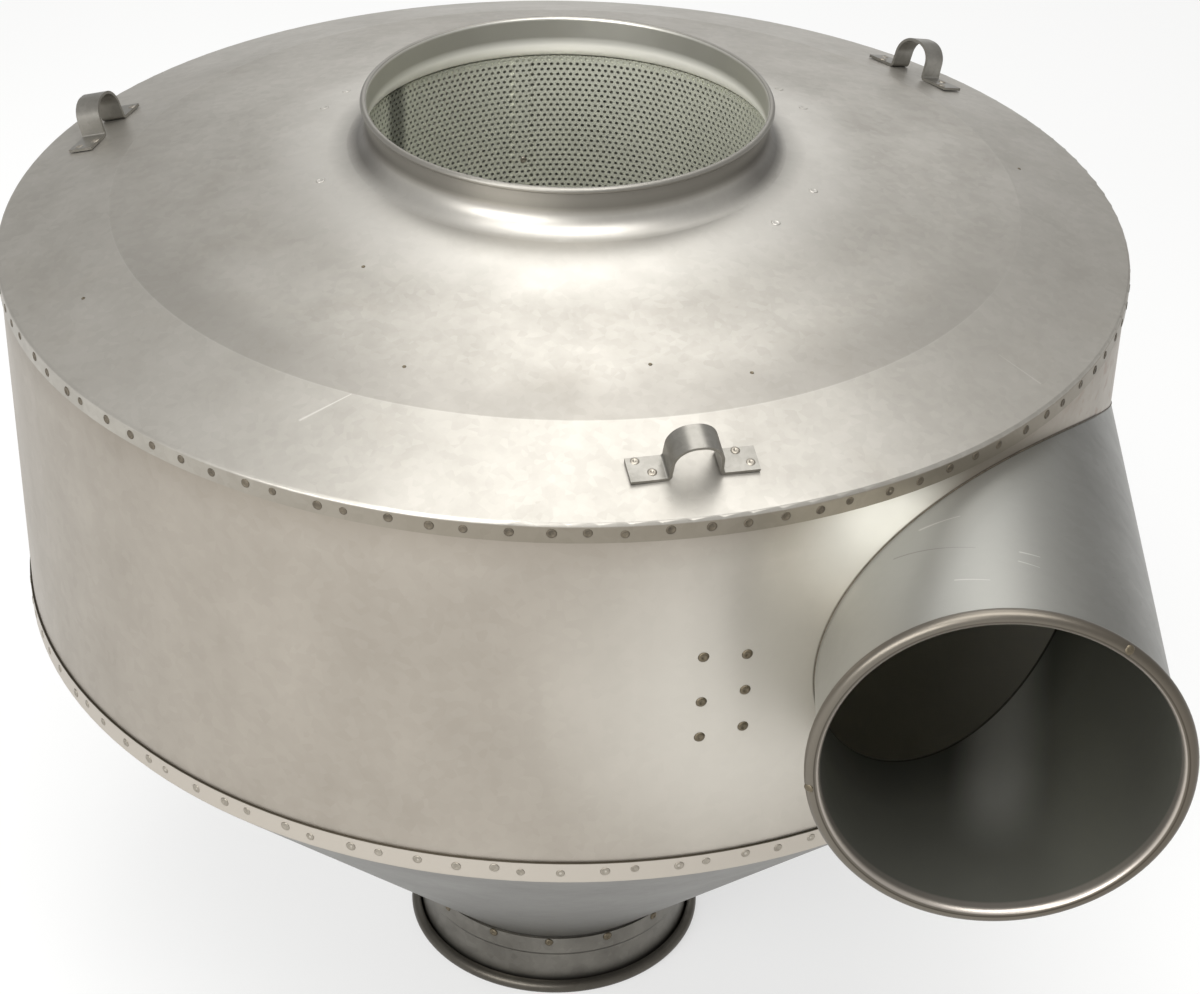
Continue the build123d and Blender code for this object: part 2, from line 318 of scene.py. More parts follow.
def cone_tint(tree, place, colour):
    """The cone's inside is bright, but for the dusty part below the pipe.

    Its turned-up strip is brighter than its outside, and a painted shadow lies along the strip's top edge,
    where it meets the shell.
    """
    clear_x, dusty_x = 60 * mm, 130 * mm
    strip_soft = 0.5 * mm
    gap_shade_below, gap_shade_above, painted_shade_soft = 0.3 * mm, 1 * mm, 0.3 * mm
    parts = node(tree, "ShaderNodeSeparateXYZ", {"Vector": place})
    height = parts.outputs["Z"]
    radius = reach(tree, place)
    wall = node(tree, "ShaderNodeMapRange", {
        "Value": height, "From Min": cone_foot_z, "From Max": cone_top_z, "To Min": cone_foot_radius,
        "To Max": cone_top_radius}, clamp=False)
    inside = node(tree, "ShaderNodeMath", {0: radius, 1: wall}, operation="LESS_THAN")
    colour = blend(tree, colour, inside, "#E4E1D8")
    inlet_side = node(tree, "ShaderNodeMapRange", {
        "Value": parts.outputs["X"], "From Min": clear_x, "From Max": dusty_x})
    dusty = node(tree, "ShaderNodeMath", {0: inside, 1: inlet_side}, operation="MULTIPLY")
    colour = blend(tree, colour, dusty, "#C8C5BA")
    strip = band(tree, height, cone_top_z, strip_top_z, strip_soft)
    colour = blend(tree, colour, strip, "#B4ADA3")
    # Painted shadow: a dark line along the strip's top edge, where it meets the shell
    edge = band(tree, height, strip_top_z - gap_shade_below, strip_top_z + gap_shade_above, painted_shade_soft)
    colour = blend(tree, colour, edge, "#4C463B")
    bare = node(tree, "ShaderNodeMath", {0: 1.0, 1: strip}, operation="SUBTRACT")
    return colour, node(tree, "ShaderNodeMath", {0: inside, 1: bare}, operation="MULTIPLY")


# Where the pipe's end and its hole in the drum can be seen through its mouth, their cut edges are darkened
# nearly black
near_black = "#3A342B"
near_black_share = 0.9
darkened_y = -110 * mm


def shell_tint(tree, place, colour):
    """The shell is darker under the flange as painted shade, paler towards the pipe as a painted reflection,
    and rusty behind it.

    Beside the saddle a painted highlight lies in the corner. The inside was never worn, so it is bright and
    chalky.
    """
    highlight_spot, highlight_reach, highlight_end = (0.158, -0.243, pipe_high.z - 4 * mm), 8 * mm, 55 * mm
    reflection_spot, reflection_reach, reflection_end = (0.115, -0.266, 0.36), 30 * mm, 140 * mm
    rust_spot, rust_reach, rust_end = (0.272, -0.10, 0.435), 30 * mm, 75 * mm
    fleck_width = 9 * mm
    shade_height = 18 * mm
    edge_reach, edge_end = 0.3 * mm, 1.2 * mm
    # Painted highlight in the corner between the shell and the pipe, beside the saddle
    corner = reach(tree, place, (1, 1, 1), highlight_spot)
    painted_corner_highlight = node(tree, "ShaderNodeMapRange", {
        "Value": corner, "From Min": highlight_reach, "From Max": highlight_end, **falling},
        interpolation_type="SMOOTHSTEP")
    parts = node(tree, "ShaderNodeSeparateXYZ", {"Vector": place})
    # Painted reflection: the shell is painted lighter towards the pipe
    beside_pipe = reach(tree, place, (1, 1, 1), reflection_spot)
    painted_reflection = node(tree, "ShaderNodeMapRange", {
        "Value": beside_pipe, "From Min": reflection_reach, "From Max": reflection_end, **falling},
        interpolation_type="SMOOTHSTEP")
    colour = blend(tree, colour, painted_reflection, "#D4D0C7", 0.65)
    # Painted shade in a band under the flange
    shade_under_flange = node(tree, "ShaderNodeMapRange", {
        "Value": parts.outputs["Z"], "From Min": rim_low.z - shade_height, "From Max": rim_low.z})
    colour = blend(tree, colour, shade_under_flange, "#80776A", 0.35)
    behind_pipe = reach(tree, place, (1, 1, 1), rust_spot)
    near = node(tree, "ShaderNodeMapRange", {
        "Value": behind_pipe, "From Min": rust_reach, "From Max": rust_end, **falling})
    flecks = node(tree, "ShaderNodeTexNoise", {"Vector": place, "Scale": 1 / fleck_width, "Detail": 4.0})
    flecked = node(tree, "ShaderNodeMapRange", {"Value": flecks, "From Min": 0.52, "From Max": 0.64})
    rusty = node(tree, "ShaderNodeMath", {0: near, 1: flecked}, operation="MULTIPLY")
    colour = blend(tree, colour, rusty, "#7B5C47", 0.4)
    colour = blend(tree, colour, painted_corner_highlight, "#EFEEE9", 0.8)
    inside = node(tree, "ShaderNodeMath", {
        0: reach(tree, place), 1: drum_radius - sheet / 2}, operation="LESS_THAN")
    colour = blend(tree, colour, inside, "#E4E1D8")
    from_pipe = reach(tree, place, (1, 0, 1), pipe_axis)
    hole_edge = node(tree, "ShaderNodeMapRange", {
        "Value": from_pipe, "From Min": pipe_radius + edge_reach, "From Max": pipe_radius + edge_end,
        **falling})
    seen_edge = node(tree, "ShaderNodeMath", {0: parts.outputs["Y"], 1: darkened_y}, operation="LESS_THAN")
    darkened_edge = node(tree, "ShaderNodeMath", {0: hole_edge, 1: seen_edge}, operation="MULTIPLY")
    return blend(tree, colour, darkened_edge, near_black, near_black_share), inside


def neck_tint(tree, place, colour):
    """The neck's wall and the corner at its foot are painted darker as painted shade. Its inside is bright
    zinc, painted near white on the flare's face as a painted highlight.

    The flare's two faces differ in their distance from the middle of its bend.
    """
    curl_width = 8 * mm
    flare_drop, wall_drop = -3 * mm, 2 * mm
    corner_shade_low, corner_shade_high, painted_shade_soft = -9 * mm, 1 * mm, 5 * mm
    less_shade_y, full_shade_y, front_shade_share = -75 * mm, -35 * mm, 0.3
    parts = node(tree, "ShaderNodeSeparateXYZ", {"Vector": place})
    radius = reach(tree, place)
    aside = node(tree, "ShaderNodeMath", {0: radius, 1: neck_radius + flare_radius}, operation="SUBTRACT")
    drop = node(tree, "ShaderNodeMath", {0: parts.outputs["Z"], 1: flare_top_z}, operation="SUBTRACT")
    below = node(tree, "ShaderNodeMath", {0: drop, 1: 0.0}, operation="MINIMUM")
    across = node(tree, "ShaderNodeCombineXYZ", {"X": aside, "Y": below})
    away = node(tree, "ShaderNodeVectorMath", {0: across}, operation="LENGTH").outputs["Value"]
    inner = node(tree, "ShaderNodeMath", {0: away, 1: flare_radius - sheet / 2}, operation="GREATER_THAN")
    near = node(tree, "ShaderNodeMath", {0: radius, 1: neck_radius + curl_width}, operation="LESS_THAN")
    inner_face = node(tree, "ShaderNodeMath", {0: inner, 1: near}, operation="MULTIPLY")
    # Painted shade: the neck's upright wall is painted darker than the flare
    wall = node(tree, "ShaderNodeMapRange", {"Value": drop, "From Min": flare_drop, "From Max": wall_drop})
    colour = lid_stains_and_highlight(tree, place, colour)
    colour = blend(tree, colour, wall, "#7C7972", 0.85)
    # Painted shade in the corner at the wall's foot, weaker in front
    corner = band(tree, drop, corner_shade_low, corner_shade_high, painted_shade_soft)
    away_from_front = node(tree, "ShaderNodeMapRange", {
        "Value": parts.outputs["Y"], "From Min": less_shade_y, "From Max": full_shade_y, "To Min": front_shade_share},
        interpolation_type="SMOOTHSTEP")
    painted_corner_shade = node(tree, "ShaderNodeMath", {0: corner, 1: away_from_front}, operation="MULTIPLY")
    colour = blend(tree, colour, painted_corner_shade, "#45413B", 0.75)
    # Painted highlight: the whole inner face is painted near white, and only the flare's face keeps it
    colour = blend(tree, colour, inner_face, "#FAF8F0")
    inner_wall = node(tree, "ShaderNodeMath", {0: inner_face, 1: wall}, operation="MULTIPLY")
    flare_face = node(tree, "ShaderNodeMath", {0: inner_face, 1: inner_wall}, operation="SUBTRACT")
    return blend(tree, colour, inner_wall, "#BCBAB2"), flare_face


def pipe_tint(tree, place, colour):
    """The pipe's rolled edge is browned, with a painted highlight on its lip and painted shade in a groove;
    painted light makes its left part brighter, and scratches lie on its top.

    Inside, it is matt and darker towards the drum, and painted light makes one long patch bright.
    """
    near_share, far_share = 0.2, 0.75
    dusty_length = 30 * mm
    swath_x, swath_slant = 248.5 * mm, 0.1055
    swath_core, swath_half = 2 * mm, 26 * mm
    swath_front_y, swath_deep_y = -292 * mm, -225 * mm
    end_reach, end_soft = 0.3 * mm, 0.5 * mm
    bead_end, wall_start = 6 * mm, 7.5 * mm
    lip_inner, lip_outer, lip_soft = 1.0 * mm, 0.3 * mm, 0.5 * mm
    groove_inner, groove_outer, groove_soft = 1.5 * mm, 1.8 * mm, 0.35 * mm
    parts = node(tree, "ShaderNodeSeparateXYZ", {"Vector": place})
    # Painted light and shade: the pipe's left part is painted lighter, its right part stays darker
    painted_side_light = node(tree, "ShaderNodeMapRange", {
        "Value": parts.outputs["X"], "From Min": pipe_axis.x - near_share * pipe_radius,
        "From Max": pipe_axis.x + far_share * pipe_radius, **falling}, interpolation_type="SMOOTHSTEP")
    colour = blend(tree, colour, painted_side_light, "#BDBCB5", 0.66)
    for start, end, width, code, share in pipe_scratches:
        colour = blend(tree, colour, scratch(tree, place, start, end, width * mm), code, share)
    distance = reach(tree, place, (1, 0, 1), pipe_axis)
    inside = node(tree, "ShaderNodeMath", {0: distance, 1: pipe_radius - sheet / 2}, operation="LESS_THAN")
    colour = blend(tree, colour, inside, "#8D8D84")
    from_drum = reach(tree, place)
    to_drum = node(tree, "ShaderNodeMapRange", {
        "Value": from_drum, "From Min": drum_radius, "From Max": drum_radius + dusty_length, **falling})
    dusty = node(tree, "ShaderNodeMath", {0: inside, 1: to_drum}, operation="MULTIPLY")
    colour = blend(tree, colour, dusty, "#54564E", 0.6)
    # Painted light: a long bright patch inside the pipe, where light through the mouth would fall
    across = node(tree, "ShaderNodeVectorMath", {
        0: place, 1: (1.0, -swath_slant, 0.0)}, operation="DOT_PRODUCT")
    aside = node(tree, "ShaderNodeMath", {0: across.outputs["Value"], 1: swath_x}, operation="SUBTRACT")
    off_swath = node(tree, "ShaderNodeMath", {0: aside}, operation="ABSOLUTE")
    swath = node(tree, "ShaderNodeMapRange", {
        "Value": off_swath, "From Min": swath_core, "From Max": swath_half, **falling},
        interpolation_type="SMOOTHSTEP")
    deep = node(tree, "ShaderNodeMapRange", {
        "Value": parts.outputs["Y"], "From Min": swath_front_y, "From Max": swath_deep_y},
        interpolation_type="SMOOTHSTEP")
    lit_band = node(tree, "ShaderNodeMath", {0: swath, 1: deep}, operation="MULTIPLY")
    painted_light_patch = node(tree, "ShaderNodeMath", {0: inside, 1: lit_band}, operation="MULTIPLY")
    colour = blend(tree, colour, painted_light_patch, "#EDEDE6", 0.9)
    end_face = band(tree, from_drum, 0.0, drum_radius + end_reach, end_soft)
    seen_end = node(tree, "ShaderNodeMath", {0: parts.outputs["Y"], 1: darkened_y}, operation="LESS_THAN")
    darkened_edge = node(tree, "ShaderNodeMath", {0: end_face, 1: seen_end}, operation="MULTIPLY")
    colour = blend(tree, colour, darkened_edge, near_black, near_black_share)
    front = node(tree, "ShaderNodeMapRange", {
        "Value": parts.outputs["Y"], "From Min": pipe_tip + bead_end, "From Max": pipe_tip + wall_start,
        **falling})
    outer = node(tree, "ShaderNodeMath", {0: distance, 1: pipe_radius - sheet / 2}, operation="GREATER_THAN")
    edge = node(tree, "ShaderNodeMath", {0: front, 1: outer}, operation="MULTIPLY")
    colour = blend(tree, colour, edge, "#5C5449", 0.85)
    # Painted highlight along the lip of the rolled edge
    lip = band(tree, distance, pipe_radius - lip_inner, pipe_radius + lip_outer, lip_soft)
    painted_lip_highlight = node(tree, "ShaderNodeMath", {0: front, 1: lip}, operation="MULTIPLY")
    colour = blend(tree, colour, painted_lip_highlight, "#B4ACA3", 0.9)
    # Painted shade: a dark groove in the rolled edge
    groove = band(tree, distance, pipe_radius + groove_inner, pipe_radius + groove_outer, groove_soft)
    painted_groove_shade = node(tree, "ShaderNodeMath", {0: front, 1: groove}, operation="MULTIPLY")
    return blend(tree, colour, painted_groove_shade, "#3A342C", 0.7), None


def spout_tint(tree, place, colour):
    """The spout's rolled edge has browned nearly black."""
    edge_top_z, wall_foot_z = 3 * mm, 5 * mm
    height = node(tree, "ShaderNodeSeparateXYZ", {"Vector": place}).outputs["Z"]
    edge = node(tree, "ShaderNodeMapRange", {
        "Value": height, "From Min": edge_top_z, "From Max": wall_foot_z, **falling})
    return blend(tree, colour, edge, "#4B463E", 0.7), None


def screen_tint(tree, place, colour):
    """One upright streak of painted shade darkens the screen at the left."""
    streak_y, streak_core, streak_half = 53 * mm, 3 * mm, 9 * mm
    left_x = -74.5 * mm
    parts = node(tree, "ShaderNodeSeparateXYZ", {"Vector": place})
    beside = node(tree, "ShaderNodeMath", {0: parts.outputs["Y"], 1: streak_y}, operation="SUBTRACT")
    off = node(tree, "ShaderNodeMath", {0: beside}, operation="ABSOLUTE")
    # Painted shade: one dark upright streak at the left
    streak = node(tree, "ShaderNodeMapRange", {
        "Value": off, "From Min": streak_core, "From Max": streak_half, **falling},
        interpolation_type="SMOOTHSTEP")
    left = node(tree, "ShaderNodeMath", {0: parts.outputs["X"], 1: left_x}, operation="LESS_THAN")
    painted_shade_streak = node(tree, "ShaderNodeMath", {0: streak, 1: left}, operation="MULTIPLY")
    return blend(tree, colour, painted_shade_streak, "#2F322B", 0.7), None


# Galvanised steel sheet: dipped in zinc and rolled, so it is satin, pale, warm grey with faint spangle.
# Behind each sheet's two greys stand its roughness and how far that spreads, and then the widths of its
# spangle, clouds, streaks and waves.
lid_sheet = worn_metal(
    "galvanised_lid_sheet", "#B4B0A8", "#98948C", 0.40, 0.04, 4 * mm, 40 * mm, 70 * mm, 110 * mm, lid_tint)
neck_sheet = worn_metal(
    "galvanised_neck_sheet", "#B4B0A8", "#98948C", 0.40, 0.04, 4 * mm, 40 * mm, 70 * mm, 110 * mm, neck_tint)
shell_sheet = worn_metal(
    "galvanised_shell_sheet", "#A69F95", "#968F85", 0.42, 0.03, 5 * mm, 70 * mm, 30 * mm, 150 * mm,
    shell_tint)
# Galvanised steel sheet, painted darker and cooler than the lid's as painted shade, since the cone faces down
cone_sheet = worn_metal(
    "galvanised_cone_sheet", "#72706B", "#64625D", 0.42, 0.03, 5 * mm, 60 * mm, 60 * mm, 120 * mm, cone_tint)
pipe_sheet = worn_metal(
    "galvanised_pipe_sheet", "#7D7C77", "#6D6C67", 0.36, 0.04, 5 * mm, 50 * mm, 60 * mm, 120 * mm, pipe_tint)
spout_sheet = worn_metal(
    "galvanised_spout_sheet", "#827F78", "#615E58", 0.40, 0.03, 5 * mm, 22 * mm, 25 * mm, 90 * mm, spout_tint)
# Perforated sheet: punched and then galvanised, a little greener and more matt than the rolled sheet
screen_sheet = worn_metal(
    "perforated_zinc_sheet", "#CDCEC0", "#BBBCAF", 0.45, 0.03, 4 * mm, 40 * mm, 40 * mm, 90 * mm, screen_tint,
    metal=0.5)
# The screen's closed end: plain galvanised sheet that no hand has touched, so it is the brightest of all
floor_sheet = worn_metal(
    "bright_zinc_floor", "#DCDAD2", "#CAC8C0", 0.42, 0.03, 5 * mm, 40 * mm, 40 * mm, 90 * mm)
# Zinc-plated steel strap: bent cold from bar, so it is smoother and shows harder lights
strap = worn_metal("zinc_plated_strap", "#96938C", "#7A7770", 0.35, 0.04, 2 * mm, 15 * mm, 20 * mm, 30 * mm)
# Rivets on the drum and the spout, weld lumps and pits: the zinc is gone and the steel has browned
browned = worn_metal("browned_rivet_steel", "#7A705F", "#4E4739", 0.40, 0.05, 1 * mm, 4 * mm, 5 * mm, 20 * mm)
# Pressed marks and rivets that kept their zinc: the sheet's own, a little rubbed and dirty
pressed = worn_metal("pressed_strip_zinc", "#A09A8F", "#847D72", 0.40, 0.04, 1 * mm, 4 * mm, 5 * mm, 20 * mm)
# Dirt that has settled in punch marks and along the saddle: matt, near-black brown with a little zinc in it
dirt = worn_metal(
    "settled_dirt", "#6A6152", "#3A342B", 0.55, 0.05, 1 * mm, 3 * mm, 4 * mm, 20 * mm, metal=0.4)

# The first start of a name that fits a node gives its sheet
node_sheets = {
    "lid_": lid_sheet, "outlet_collar": neck_sheet, "shell_": shell_sheet, "cone_": cone_sheet,
    "inlet_": pipe_sheet, "dust_spout": spout_sheet, "screen_floor": floor_sheet, "screen_": screen_sheet,
    "lug_": strap,
}
for name, piece in cad.items():
    finish = next(metal for start, metal in node_sheets.items() if name.startswith(start))
    piece.data.materials.clear()
    piece.data.materials.append(finish)


# Pieces grown by Geometry Nodes


def new_tree(name, sizes):
    """A Geometry Nodes tree with one named input for each size, and the sockets that hand them on."""
    tree = bpy.data.node_groups.new(name, "GeometryNodeTree")
    tree.interface.new_socket("Geometry", in_out="INPUT", socket_type="NodeSocketGeometry")
    for size, kind in sizes.items():
        tree.interface.new_socket(size, in_out="INPUT", socket_type="NodeSocket" + kind)
    tree.interface.new_socket("Geometry", in_out="OUTPUT", socket_type="NodeSocketGeometry")
    return tree, node(tree, "NodeGroupInput").outputs


def end_tree(tree, instances, material):
    """Realizes what the tree made, smooths it, gives it its material and hands it out."""
    real = node(tree, "GeometryNodeRealizeInstances", {"Geometry": instances})
    smooth = node(tree, "GeometryNodeSetShadeSmooth", {"Geometry": real})
    dressed = node(tree, "GeometryNodeSetMaterial", {"Geometry": smooth, "Material": material})
    node(tree, "NodeGroupOutput", {"Geometry": dressed})


def grow(name, tree, values, start=None, stands_for=()):
    """Runs a tree once and keeps its result as a plain mesh that rides on the body."""
    piece = bpy.data.objects.new(name, start or bpy.data.meshes.new(name + "_start"))
    collection.objects.link(piece)
    modifier = piece.modifiers.new("grow", "NODES")
    modifier.node_group = tree
    for item in tree.interface.items_tree:
        if item.in_out == "INPUT" and item.name in values:
            modifier[item.identifier] = values[item.name]
    bpy.context.view_layer.update()
    grown = bpy.data.meshes.new_from_object(piece.evaluated_get(bpy.context.evaluated_depsgraph_get()))
    piece.modifiers.remove(modifier)
    piece.data = grown
    grown.name = name
    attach(piece, "root")
    if stands_for:
        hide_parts(*stands_for)


def lathed_head(tree, radius, height, profile_shares, segments, rings):
    """A small round head. Its height follows a profile of shares from the middle out to the edge."""
    blank = node(tree, "GeometryNodeMeshCone", {
        "Vertices": segments, "Side Segments": rings, "Radius Top": 0.0, "Radius Bottom": 1.0, "Depth": 1.0},
        fill_type="NGON")
    place = node(tree, "GeometryNodeInputPosition")
    flat = node(tree, "ShaderNodeVectorMath", {0: place, 1: (1, 1, 0)}, operation="MULTIPLY")
    from_middle = node(tree, "ShaderNodeVectorMath", {0: flat}, operation="LENGTH")
    profile = node(tree, "ShaderNodeFloatCurve", {"Value": from_middle.outputs["Value"]})
    points = profile.mapping.curves[0].points
    for point, share in zip((points[0], points[1]), (profile_shares[0], profile_shares[-1])):
        point.location = share
    for share in profile_shares[1:-1]:
        points.new(*share)
    profile.mapping.update()
    lifted = node(tree, "ShaderNodeMath", {0: profile, 1: height}, operation="MULTIPLY")
    spread = node(tree, "ShaderNodeVectorMath", {0: flat, "Scale": radius}, operation="SCALE")
    parts = node(tree, "ShaderNodeSeparateXYZ", {"Vector": spread.outputs["Vector"]})
    moved = node(tree, "ShaderNodeCombineXYZ", {
        "X": parts.outputs["X"], "Y": parts.outputs["Y"], "Z": lifted})
    return node(tree, "GeometryNodeSetPosition", {"Geometry": blank.outputs["Mesh"], "Position": moved})


def ring_of_heads(name, profile_shares, material, segments=14, rings=8):
    """Heads round a ring on an upright wall, a little uneven in pitch, height and size."""
    smallest_share, largest_share = 0.88, 1.1
    tree, size = new_tree(name, {
        "Ring Radius": "Float", "Height": "Float", "Count": "Int", "First Angle": "Float",
        "Pitch Jitter": "Float", "Height Jitter": "Float", "Head Radius": "Float", "Head Height": "Float",
        "Seed": "Int"})
    points = node(tree, "GeometryNodePoints", {"Count": size["Count"]})
    index = node(tree, "GeometryNodeInputIndex")
    step = node(tree, "ShaderNodeMath", {0: 2 * pi, 1: size["Count"]}, operation="DIVIDE")
    even = node(tree, "ShaderNodeMath", {0: index, 1: step, 2: size["First Angle"]}, operation="MULTIPLY_ADD")
    pitch_low = node(tree, "ShaderNodeMath", {0: size["Pitch Jitter"], 1: -1.0}, operation="MULTIPLY")
    pitch = node(tree, "FunctionNodeRandomValue", {
        "Min_001": pitch_low, "Max_001": size["Pitch Jitter"], "Seed": size["Seed"]}, data_type="FLOAT")
    turn = node(tree, "ShaderNodeMath", {0: even, 1: pitch}, operation="ADD")
    next_seed = node(tree, "ShaderNodeMath", {0: size["Seed"], 1: 1.0}, operation="ADD")
    lift_low = node(tree, "ShaderNodeMath", {0: size["Height Jitter"], 1: -1.0}, operation="MULTIPLY")
    lift = node(tree, "FunctionNodeRandomValue", {
        "Min_001": lift_low, "Max_001": size["Height Jitter"], "Seed": next_seed}, data_type="FLOAT")
    cosine = node(tree, "ShaderNodeMath", {0: turn}, operation="COSINE")
    sine = node(tree, "ShaderNodeMath", {0: turn}, operation="SINE")
    outward = node(tree, "ShaderNodeCombineXYZ", {"X": cosine, "Y": sine})
    flat = node(tree, "ShaderNodeVectorMath", {0: outward, "Scale": size["Ring Radius"]}, operation="SCALE")
    height = node(tree, "ShaderNodeMath", {0: size["Height"], 1: lift}, operation="ADD")
    up = node(tree, "ShaderNodeCombineXYZ", {"Z": height})
    place = node(tree, "ShaderNodeVectorMath", {0: flat, 1: up}, operation="ADD")
    spread = node(tree, "GeometryNodeSetPosition", {"Geometry": points, "Position": place})
    facing = node(tree, "FunctionNodeAlignRotationToVector", {"Vector": outward}, axis="Z")
    head = lathed_head(tree, size["Head Radius"], size["Head Height"], profile_shares, segments, rings)
    scale = node(tree, "FunctionNodeRandomValue", {
        "Min_001": smallest_share, "Max_001": largest_share, "Seed": size["Seed"]}, data_type="FLOAT")
    heads = node(tree, "GeometryNodeInstanceOnPoints", {
        "Points": spread, "Instance": head, "Rotation": facing, "Scale": scale})
    end_tree(tree, heads, material)
    return tree


def heads_on_points(name, profile_shares, material, segments=14, rings=8):
    """Heads on the start mesh's vertices, each along the vertex's facing attribute."""
    tree, size = new_tree(name, {"Head Radius": "Float", "Head Height": "Float"})
    stored = node(tree, "GeometryNodeInputNamedAttribute", {"Name": "facing"}, data_type="FLOAT_VECTOR")
    facing = node(tree, "FunctionNodeAlignRotationToVector", {
        "Vector": stored.outputs["Attribute"]}, axis="Z")
    head = lathed_head(tree, size["Head Radius"], size["Head Height"], profile_shares, segments, rings)
    heads = node(tree, "GeometryNodeInstanceOnPoints", {
        "Points": size["Geometry"], "Instance": head, "Rotation": facing})
    end_tree(tree, heads, material)
    return tree


def seats(name, places):
    """A start mesh with a vertex and a facing at each place."""
    mesh = bpy.data.meshes.new(name + "_seats")
    mesh.from_pydata([point for point, _ in places], [], [])
    facing = mesh.attributes.new("facing", "FLOAT_VECTOR", "POINT")
    for item, (_, way) in zip(facing.data, places):
        item.vector = way
    return mesh


# Heads on the drum's walls and on the lugs are sunk this far, so that no gap shows under them
sink = 0.05 * mm

# Profiles of heads, as shares of radius and height from the middle out: a dimple with a raised lip,
# a low dome with a small sunk middle, and a lump of weld
dimple_shares = [(0.0, 0.10), (0.35, 0.16), (0.62, 0.95), (0.74, 1.0), (1.0, 0.0)]
rivet_shares = [(0.0, 0.55), (0.22, 0.62), (0.38, 1.0), (0.75, 0.8), (1.0, 0.0)]
lump_shares = [(0.0, 1.0), (0.3, 0.9), (0.6, 0.75), (0.85, 0.4), (1.0, 0.0)]

# Spot marks round the lid's flange and the cone's strip
clinch_count = 104
flange_mark_drop = 4.6 * mm
strip_mark_drop = 5.2 * mm
grow("lid_flange_dimples", ring_of_heads("dark_dimple_ring", dimple_shares, dirt), {
    "Ring Radius": flange_radius - sink, "Height": rim_z - flange_mark_drop, "Count": clinch_count,
    "First Angle": radians(-85.0), "Pitch Jitter": radians(0.55), "Height Jitter": 0.7 * mm,
    "Head Radius": 2.2 * mm, "Head Height": 0.3 * mm, "Seed": 11})
grow("cone_strip_dimples", ring_of_heads("dimple_ring", dimple_shares, pressed), {
    "Ring Radius": flange_radius - sink, "Height": strip_top_z - strip_mark_drop, "Count": clinch_count,
    "First Angle": radians(-86.4), "Pitch Jitter": radians(0.6), "Height Jitter": 1.2 * mm,
    "Head Radius": 2.3 * mm, "Head Height": 0.3 * mm, "Seed": 23})

# Rivets through the spout and the cone's collar, sunk twice as far, because the spout is more sharply curved
spout_rivet_drop = 2.8 * mm
grow("spout_rivets", ring_of_heads("spout_rivet_ring", rivet_shares, browned), {
    "Ring Radius": swage_radius - 2 * sink, "Height": spout_high.z - spout_rivet_drop, "Count": 15,
    "First Angle": radians(-89.0), "Pitch Jitter": radians(0.6), "Height Jitter": 0.5 * mm,
    "Head Radius": 2.6 * mm, "Head Height": 0.9 * mm, "Seed": 5})

# Six rivets in the shell beside the pipe, by angle and by height from the rim in millimetres
shell_rivet_places = [
    (-74.2, -75.4), (-74.2, -100.5), (-74.2, -120.5), (-70.1, -77.2), (-70.1, -97.2), (-70.1, -118.0)]
grow("shell_rivets", heads_on_points("rivet_seats", rivet_shares, browned, segments=16), {
    "Head Radius": 2.7 * mm, "Head Height": 0.8 * mm},
    seats("shell_rivets", [on_drum(drum_radius - sink, angle, rim_z + lift * mm)
                           for angle, lift in shell_rivet_places]))

# Rivets on the lugs' feet, two to a foot, by radius in millimetres and angle from the lug's middle
lug_turns = [-74.5, 43.7, 165.5]
lug_rivet_places = [(258.5, -5.6), (265.0, -4.1), (257.9, 4.6), (265.5, 5.6)]
lug_rivet_seats = []
for turn in lug_turns:
    for radius, aside in lug_rivet_places:
        point, way = on_lid(radius * mm, turn + aside)
        lug_rivet_seats.append((point + way * (lug_strap - sink), way))
zinc_rivets = heads_on_points("zinc_rivet_seats", rivet_shares, pressed, segments=16)
grow("lug_rivets", zinc_rivets, {"Head Radius": 2.4 * mm, "Head Height": 0.8 * mm},
     seats("lug_rivets", lug_rivet_seats))

# Spot marks where the screen's flange holds to the lid, and pits in the lid, by radius in mm and angle
neck_spot_places = [
    (136, 153), (136, 163), (130, -158), (141, 38.9), (138, 27.7), (131, -16.5), (130, -35), (135, 84),
    (137, 118)]
pit_places = [(155.8, -125.2), (209.8, -107.4), (198.9, -75.7), (213.6, -63.4), (258.7, -151), (243, 11.7)]
grow("neck_spot_marks", heads_on_points("spot_seats", dimple_shares, lid_sheet), {
    "Head Radius": 2.4 * mm, "Head Height": 0.2 * mm},
    seats("neck_spots", [on_lid(radius * mm, angle) for radius, angle in neck_spot_places]))
grow("small_pits", heads_on_points("mark_seats", dimple_shares, browned, segments=12, rings=6), {
    "Head Radius": 1.0 * mm, "Head Height": 0.2 * mm},
    seats("small_pits", [on_lid(radius * mm, angle) for radius, angle in pit_places]))

# One rivet in the screen's seam, on the lap's inner face
seam_rivet_inset = 1.75 * mm
seam_rivet_angle = 105.8
seam_rivet_drop = 17 * mm
seam_spot, seam_way = on_drum(screen_radius - seam_rivet_inset, seam_rivet_angle, rim_z - seam_rivet_drop)
grow("screen_seam_rivet", zinc_rivets, {"Head Radius": 1.9 * mm, "Head Height": 0.6 * mm},
     seats("screen_seam_rivet", [(seam_spot, -seam_way)]))

# Two lumps of weld on the pipe's rolled edge, by their angles round the pipe, each leaning out and forward
lump_angles = [55.7, 188.7]
lump_sink = 0.3 * mm
lump_lean = 0.5
lump_forward = -0.8
lump_seats = []
for angle in lump_angles:
    outward = Vector((cos(radians(angle)), 0, sin(radians(angle))))
    way = (outward * lump_lean + Vector((0, lump_forward, 0))).normalized()
    curl = pipe_axis + outward * (pipe_radius - sheet + curl_radius) + Vector((0, pipe_tip + curl_radius, 0))
    lump_seats.append((curl + way * (curl_radius - lump_sink), way))
grow("bead_weld_lumps", heads_on_points("lump_seats", lump_shares, browned), {
    "Head Radius": 2.4 * mm, "Head Height": 0.7 * mm},
    seats("bead_weld_lumps", lump_seats))


